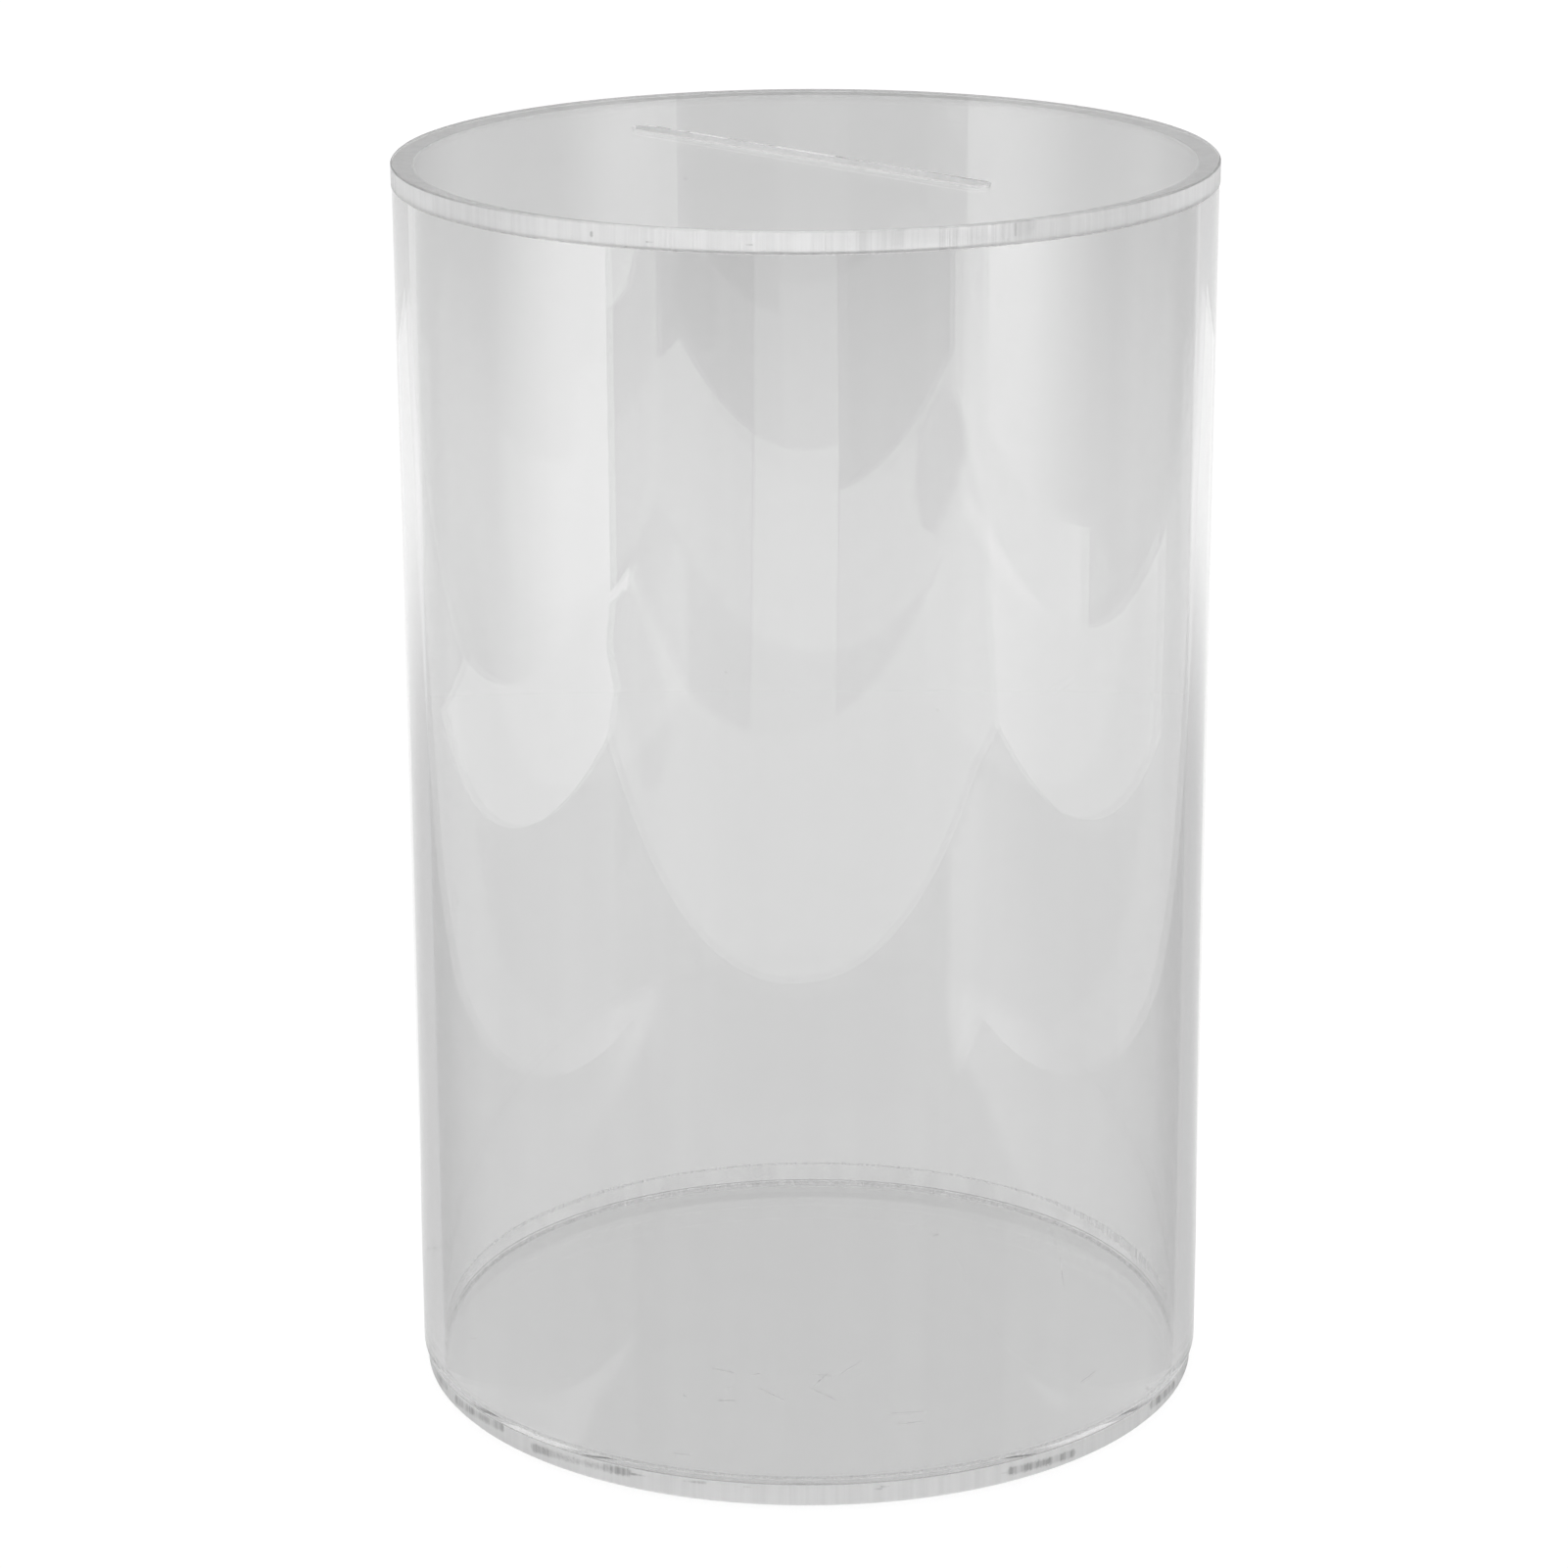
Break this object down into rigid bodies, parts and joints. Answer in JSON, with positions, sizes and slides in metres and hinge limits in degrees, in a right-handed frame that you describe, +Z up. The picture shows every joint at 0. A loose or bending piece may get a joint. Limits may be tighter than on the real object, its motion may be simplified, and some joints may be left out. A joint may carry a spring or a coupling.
{
  "type": "money box",
  "caption": "Clear acrylic cylinder with a bonded flat base and a bonded flat lid that has a straight coin slot across its middle; it is broken open to empty it.",
  "frame": {"origin": "centre of the base disc's underside, on the surface that it stands on", "axes": "+Z up along the axis of the tube, +X along the coin slot"},
  "size_m": [0.1002, 0.1002, 0.1558],
  "materials": {
    "clear_tube": "clear acrylic tube, polished inside and out, sawn ends",
    "clear_sheet": "clear acrylic sheet, polished faces, machined edges with fine cutter marks",
    "solvent_cement": "dried solvent cement, clear to milky, with a ragged inner bead"
  },
  "bodies": {
    "root": {"base_plate": "clear_sheet", "base_cement": "solvent_cement", "body_tube": "clear_tube", "lid_cement": "solvent_cement", "lid_plate": "clear_sheet"}
  },
  "joints": []
}
